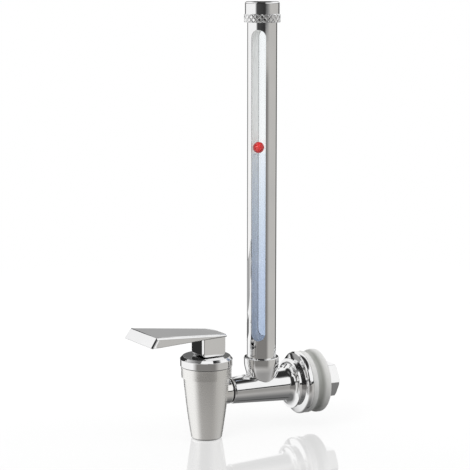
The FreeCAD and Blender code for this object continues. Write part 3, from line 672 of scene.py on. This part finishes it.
def slotted_tube():
    """Outer tube with two long round-ended windows whose edges are eased."""
    outer, inner, foot = 7.5, 6.5, 11.5
    near = 0.02
    tube = turned("tube_blank", [
        (inner, foot, 0), (outer, foot, 0), (outer, TUBE_TOP, 0), (inner, TUBE_TOP, 0),
    ], 0, columns=128)
    cutter = window_cutter(half_width=3.7, low=25.2, high=181.5, reach=outer + 2)
    mesh = with_modifiers(
        "slotted_tube", tube,
        ("BOOLEAN", {"object": cutter, "operation": "DIFFERENCE", "solver": "EXACT"}),
        ("BEVEL", {
            "width": 0.18 * MM, "segments": 2, "limit_method": "ANGLE",
            "angle_limit": math.radians(40),
        }),
    )
    bpy.data.objects.remove(cutter)
    mesh.shade_smooth()
    points = np.array([v.co for v in mesh.vertices]) / MM
    radius = np.hypot(points[:, 0], points[:, 1])
    plain = np.array([n.vector for n in mesh.vertex_normals])
    radial = np.column_stack([points[:, 0] / radius, points[:, 1] / radius, np.zeros(len(points))])
    on_outer, on_inner = radius > outer - near, radius < inner + near
    plain[on_outer] = radial[on_outer]
    plain[on_inner] = -radial[on_inner]
    mesh.normals_split_custom_set_from_vertices(plain.tolist())
    mesh["inner_faces"] = [
        face.index for face in mesh.polygons if all(on_inner[i] for i in face.vertices)
    ]
    mesh.transform(
        Matrix.Translation((0, GAUGE_Y * MM, 0)) @ Matrix.Rotation(WINDOW_TURN, 4, "Z")
    )
    return mesh


outer_tube = new_piece(
    "slotted_tube", slotted_tube(), CHROME, "polished_metal", "root", "gauge_tube",
)
outer_tube.data.materials.append(DULL)
for face in outer_tube.data["inner_faces"]:
    outer_tube.data.polygons[face].material_index = 1
del outer_tube.data["inner_faces"]


def clear_tube_mesh():
    """Inner tube that stands on the lower seal."""
    bore, outside, foot = 5.0, 6.3, 13.0
    return turned("clear_tube", [
        (bore, foot, 0.1), (outside, foot, 0.2), (outside, TUBE_TOP, 0.2), (bore, TUBE_TOP, 0.1),
    ], GAUGE_Y, columns=96)


new_piece("clear_tube", clear_tube_mesh(), CLEAR, "clear_plastic", "root", "sight_tube")


def knurled_cap():
    """Cap with a rounded roof, a small vent and a diamond-knurled ring."""
    foot, ring_top, ceiling, roof = 185.0, 189.1, 192.7, 195.3
    grip, side, bore, vent = 9.07, 8.6, 7.55, 0.75
    crossings, rows, arc_steps = 20, 36, 6
    lip, chamfer = 0.3, 0.15
    cut, groove_share = 0.34, 0.3
    edge_cut, edge_reach = 0.16, 0.35
    outline = [
        (bore, ceiling), (bore, foot + chamfer), (bore + chamfer, foot), (grip - lip, foot),
    ]
    first_row = len(outline)
    for row in range(rows + 1):
        outline.append((grip, foot + lip * 0.5 + (ring_top - foot - lip) * row / rows))
    last_row = len(outline) - 1
    outline += [
        (grip - lip, ring_top), (side + 0.08, ring_top + 0.02), (side, ring_top + 0.12),
        (side, ring_top + 0.25), (side, roof - 1.06),
    ]
    for step in range(arc_steps + 1):
        angle = math.pi / 2 * step / arc_steps
        outline.append((side - 1 + math.cos(angle), roof - 1 + math.sin(angle)))
    outline += [
        (side - 1.05, roof), (vent + 0.2, roof), (vent + 0.05, roof - 0.06), (vent, roof - 0.2),
        (vent, ceiling),
    ]

    def depth(ring, turn):
        """Two crossing sets of grooves, and eased edges above and below them."""
        if not first_row <= ring <= last_row:
            return 0
        rise = (outline[ring][1] - foot) / (FULL_TURN * grip) * crossings
        ways = [turn * crossings + way * rise for way in (1, -1)]
        off_groove = min(abs(share - round(share)) * 2 for share in ways)
        near_edge = min(outline[ring][1] - foot, ring_top - outline[ring][1])
        return max(
            cut * max(0, 1 - off_groove / groove_share),
            edge_cut * max(0, 1 - near_edge / edge_reach),
        )

    return smooth_by_angle(relief("knurled_cap", outline, 400, depth, GAUGE_Y), 32)


new_piece("knurled_cap", knurled_cap(), CHROME, "polished_metal", "root", "gauge_cap")


def float_mesh():
    """Ball with the fine raised seam that moulding leaves round its middle.

    It stands to one side in the clear tube, and its seam lies at a slant.
    """
    radius, seam, seam_half_angle = 2.87, 0.03, math.radians(1.5)
    lean, lean_side, slant = 1.7, math.radians(244.4), math.radians(35)
    rows = 64
    corners = []
    for row in range(rows + 1):
        angle = -math.pi / 2 + math.pi * row / rows
        r = radius + (seam if abs(angle) < seam_half_angle else 0)
        across = r * math.cos(angle) if 0 < row < rows else 0.0
        corners.append((across, r * math.sin(angle), 0))
    mesh = turned("red_float", corners, 0, columns=96)
    mesh.normals_split_custom_set_from_vertices([tuple(v.co.normalized()) for v in mesh.vertices])
    x, y = lean * math.cos(lean_side), GAUGE_Y + lean * math.sin(lean_side)
    mesh.transform(
        Matrix.Translation((x * MM, y * MM, FLOAT_Z * MM)) @ Matrix.Rotation(slant, 4, "X")
    )
    return mesh


new_piece("red_float", float_mesh(), RED, "red_plastic", "float", "float_ball")


def liquid_mesh():
    """Column of liquid with a hollow top. Only its two ends have points, so it can lengthen."""
    radius, foot, top = 4.93, 11.5, 119.8
    hollow, steepness, top_steps = 0.5, 2.2, 8
    columns = 96
    rings = [(radius, foot), (radius, top)]
    for step in range(1, top_steps + 1):
        share = step / top_steps
        drop = hollow * math.sin(math.pi / 2 * min(1, share * steepness))
        rings.append((radius * (1 - share), top - drop))
    points, faces = [], []
    for r, h in rings[:-1]:
        for column in range(columns):
            angle = FULL_TURN * column / columns
            points.append((r * math.cos(angle) * MM, r * math.sin(angle) * MM, h * MM))
    points.append((0, 0, rings[-1][1] * MM))
    for ring in range(len(rings) - 2):
        for column in range(columns):
            following = (column + 1) % columns
            faces.append((
                ring * columns + column, ring * columns + following,
                (ring + 1) * columns + following, (ring + 1) * columns + column,
            ))
    last = (len(rings) - 2) * columns
    for column in range(columns):
        faces.append((last + column, last + (column + 1) % columns, len(points) - 1))
    faces.append(tuple(reversed(range(columns))))
    mesh = bpy.data.meshes.new("liquid")
    mesh.from_pydata(points, [], faces)
    mesh.transform(Matrix.Translation((0, GAUGE_Y * MM, 0)))
    return smooth_by_angle(mesh, 50)


level = new_piece("liquid", liquid_mesh(), LIQUID, "water", None, "water_column")
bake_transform(level)


# Studio

# Azimuth of the side that the photo shows. The room's azimuths count from it.
FACING = math.atan2(-0.42737, 0.8904)
WHITE = (1, 1, 1, 1)


def room(tree):
    """What metal mirrors: a white room with soft dark strips, over azimuth and elevation."""
    def at(degrees):
        """Place of an azimuth on a ramp that runs all round."""
        return degrees / 360 + 0.5

    def up(degrees):
        """Place of an elevation on a ramp that runs from straight down to straight up."""
        return degrees / 180 + 0.5

    def mixed(factor, first, second):
        node = node_in(tree, "Mix")
        node.data_type = "RGBA"
        for socket, value in ((0, factor), (6, first), (7, second)):
            tree.links.new(value, node.inputs[socket])
        return node.outputs[2]

    split = node_in(tree, "SeparateXYZ")
    joined(tree, split, node_in(tree, "TexCoord").outputs["Generated"])
    x, y, z = split.outputs
    turned_by = calculated(tree, "SUBTRACT", calculated(tree, "ARCTAN2", y, x), FACING)
    turns = calculated(tree, "ADD", calculated(tree, "DIVIDE", turned_by, FULL_TURN), 1.5)
    azimuth = calculated(tree, "FRACT", turns)
    tilt = calculated(tree, "DIVIDE", calculated(tree, "ARCSINE", z), math.pi)
    elevation = calculated(tree, "ADD", tilt, 0.5)

    def around(*stops):
        return colours_over(tree, azimuth, *stops)

    def upward(*stops):
        return colours_over(tree, elevation, *stops)

    white, dark = 1.0, 0.02
    light, warm = (0.54, 0.53, 0.51), (0.22, 0.213, 0.205)
    left_strip = [(at(-162), white), (at(-156), dark), (at(-144), dark), (at(-136), white)]
    right_strip = [(at(128), light), (at(140), dark), (at(154), dark), (at(162), white)]

    low = around(
        *left_strip, (at(-62), white), (at(-40), warm), (at(38), warm), (at(58), light),
        *right_strip,
    )
    seen_by_tube_top = around(
        *left_strip, (at(-48), white), (at(-38), 0.05), (at(20), 0.03), (at(28), light),
        *right_strip,
    )
    seen_by_cap = around(
        *left_strip, (at(-50), white), (at(-38), 0.07), (at(18), 0.035), (at(40), 0.28),
        (at(56), light), *right_strip,
    )
    near_floor = around(
        (at(-170), 0.2), (at(-120), 0.9), (at(-70), 1.0), (at(-35), (0.5, 0.49, 0.48)),
        (at(30), (0.45, 0.44, 0.43)), (at(60), (0.44, 0.43, 0.42)), (at(110), 0.6),
        (at(170), 0.2),
    )
    steep_down = around((at(118), 0.17), (at(126), 0.05), (at(138), 0.05), (at(142), 0.17))
    below = mixed(upward((up(-32), 1.0), (up(-20), 0.0)), low, near_floor)
    below = mixed(upward((up(-62), 1.0), (up(-34), 0.0)), below, steep_down)
    below = mixed(upward((up(-3.2), 0.0), (up(-2.7), 1.0)), below, seen_by_tube_top)
    below = mixed(upward((up(-1.8), 0.0), (up(-1.6), 1.0)), below, seen_by_cap)

    high = [(up(50), white), (up(55), 0.2), (up(62), 0.03), (up(76), 0.03), (up(90), 0.2)]
    above = upward(
        (up(1.4), dark), (up(3.6), dark), (up(4.8), 0.36), (up(14.6), 0.4), (up(15.8), white),
        *high,
    )
    beyond_arm = upward(
        (up(1.2), light), (up(2.4), dark), (up(8.5), dark), (up(10), white), *high,
    )
    at_back = upward((up(1.2), white), *high)
    at_front = upward(
        (up(1.2), dark), (up(46), 0.05), (up(50), 0.1), (up(62), 0.03), (up(90), 0.2),
    )
    above = mixed(
        around((at(38), 0.0), (at(44), 1.0), (at(76), 1.0), (at(82), 0.0)), above, beyond_arm,
    )
    above = mixed(
        around((at(-46), 0.0), (at(-38), 1.0), (at(18), 1.0), (at(30), 0.0)), above, at_front,
    )
    above = mixed(
        around((at(-164), 1.0), (at(-156), 0.0), (at(156), 0.0), (at(164), 1.0)), above, at_back,
    )
    return mixed(upward((up(0.9), 0.0), (up(1.3), 1.0)), below, above)


def studio():
    """White surroundings, of which metal mirrors the room instead."""
    world = bpy.data.worlds.new("studio")
    bpy.context.scene.world = world
    world.use_nodes = True
    tree = world.node_tree
    tree.nodes.clear()
    plain = node_in(tree, "Background", Color=WHITE, Strength=0.75)
    mirrored = node_in(tree, "Background")
    tree.links.new(room(tree), mirrored.inputs["Color"])
    backdrop = node_in(tree, "Background", Color=WHITE)
    rays = node_in(tree, "LightPath").outputs
    indirect = choice(tree, rays["Is Glossy Ray"], plain.outputs[0], mirrored.outputs[0])
    surroundings = choice(tree, seen_directly(tree), indirect, backdrop.outputs[0])
    tree.links.new(surroundings, node_in(tree, "OutputWorld").inputs["Surface"])


def sheet(name, corners, material):
    """A four-cornered face that belongs to the studio."""
    mesh = bpy.data.meshes.new(name)
    mesh.from_pydata(corners, [], [(0, 1, 2, 3)])
    mesh.materials.append(material)
    board = bpy.data.objects.new(name, mesh)
    bpy.context.scene.collection.objects.link(board)
    return board


def floor():
    """Pale floor with a slight gloss near the object; it shows white where no shadow falls."""
    size, height = 20.0, FLOOR_Z * MM
    gloss_end, plain_start = 0.22, 0.5
    finish = Finish("floor", Roughness=0.04, IOR=2.2, Base_Color=(0.22, 0.22, 0.22, 1))
    tree = finish.tree
    seen = seen_directly(tree)
    fill, far = node_in(tree, "Emission"), node_in(tree, "Emission")
    tree.links.new(finish.spread(seen, 0.0, 0.54, (0, 1)), fill.inputs["Strength"])
    tree.links.new(finish.spread(seen, 0.75, 1.0, (0, 1)), far.inputs["Strength"])
    near = joined(tree, node_in(tree, "AddShader"), finish.shader.outputs[0], fill.outputs[0])
    edge = finish.spread(finish.distance(finish.place), 0, 1, (gloss_end, plain_start))
    finish.cover(choice(tree, edge, near, far.outputs[0]))
    board = sheet("floor", [
        (-size, -size, height), (size, -size, height), (size, size, height),
        (-size, size, height),
    ], finish.material)
    board.visible_glossy = False


def card(name, corners, level):
    """Flat card of one grey that only reflections show."""
    paper = bpy.data.materials.new(name)
    paper.use_nodes = True
    tree = paper.node_tree
    tree.nodes.clear()
    glow = node_in(tree, "Emission", Color=(level, level, level, 1))
    tree.links.new(glow.outputs[0], node_in(tree, "OutputMaterial").inputs["Surface"])
    board = sheet(name, corners, paper)
    board.visible_camera = board.visible_diffuse = board.visible_shadow = False
    board.visible_transmission = False


def standing_card(name, azimuth, away, half_width, low, high, level, foot):
    """Upright card at an azimuth and distance from a foot point, facing it."""
    out = Vector((math.cos(math.radians(azimuth)), math.sin(math.radians(azimuth)), 0))
    side = Vector((-out.y, out.x, 0)) * half_width
    middle = Vector((*foot, 0)) + out * away
    bottom, top = Vector((0, 0, low)), Vector((0, 0, high))
    card(name, [
        middle - side + bottom, middle + side + bottom, middle + side + top, middle - side + top,
    ], level)


def aimed(name, data, place, target):
    """An object that looks from its place at a target."""
    holder = bpy.data.objects.new(name, data)
    holder.location = place
    holder.rotation_euler = (Vector(target) - Vector(place)).to_track_quat("-Z", "Y").to_euler()
    bpy.context.scene.collection.objects.link(holder)
    return holder


def soft_lamp(name, place, target, size, power):
    """Square soft lamp that shines from one point at another and isn't mirrored."""
    lamp = bpy.data.lights.new(name, "AREA")
    lamp.shape = "SQUARE"
    lamp.size = size
    lamp.energy = power
    aimed(name, lamp, place, target).visible_glossy = False


def camera():
    """The photograph's view: 9 degrees down, a little less than square to the arm."""
    lens = bpy.data.cameras.new("camera")
    lens.lens = 121.25
    lens.sensor_width = 36
    lens.clip_start = 0.01
    bpy.context.scene.camera = aimed(
        "camera", lens, (0.70575, -0.37589, 0.20381), (0, -0.03715, 0.07962),
    )


# Azimuth straight behind the part.
BACK = 154.4

studio()
floor()
# The pedestal's dark front face.
standing_card(
    "pedestal_card", azimuth=-142, away=0.012, half_width=0.0055, low=0.0178, high=0.030,
    level=0.03, foot=(0.0006, -0.0586),
)
# The grey of the bonnet's crown and of the blade's top.
standing_card(
    "crown_card", azimuth=BACK, away=0.03, half_width=0.016, low=0.020, high=0.030,
    level=0.15, foot=(0, BARREL_Y * MM),
)
standing_card(
    "blade_card", azimuth=BACK, away=0.03, half_width=0.032, low=0.034, high=0.062,
    level=0.4, foot=(-0.0069, -0.0675),
)
# The dark line on the socket's rim, and the dark roof of the cap.
standing_card(
    "rim_card", azimuth=BACK, away=0.03, half_width=0.010, low=0.019, high=0.027,
    level=0.03, foot=(0, GAUGE_Y * MM),
)
standing_card(
    "cap_card", azimuth=BACK, away=0.02, half_width=0.014, low=0.188, high=0.250,
    level=0.03, foot=(0, GAUGE_Y * MM),
)
# The white line down the pedestal's front corner.
standing_card(
    "corner_card", azimuth=-50.6, away=0.025, half_width=0.019, low=0.0145, high=0.0245,
    level=1.0, foot=(0.0066, -0.058),
)
# The blade's toe: its dark edge, the white line beside that, and the white line along the top.
card("toe_card", [
    (-0.03, -0.0965, 0.045), (-0.03, -0.0805, 0.045), (-0.03, -0.0805, 0.066),
    (-0.03, -0.0965, 0.066),
], 0.02)
card("strip_card", [
    (0.0321, -0.0695, 0.0289), (0.0425, -0.0609, 0.021), (0.0384, -0.0642, 0.0226),
    (0.0280, -0.0728, 0.0305),
], 1.0)
card("bevel_card", [
    (-0.004, -0.084, 0.06), (0.040, -0.084, 0.06), (0.040, -0.046, 0.06), (-0.004, -0.046, 0.06),
], 1.0)
soft_lamp("key", (0.5, -0.9, 0.9), (0, -0.02, 0.07), 0.6, 6.0)
soft_lamp("fill", (0.6, 0.8, 0.5), (0, -0.02, 0.05), 0.8, 3.0)
camera()
bpy.context.scene.view_settings.view_transform = "Standard"
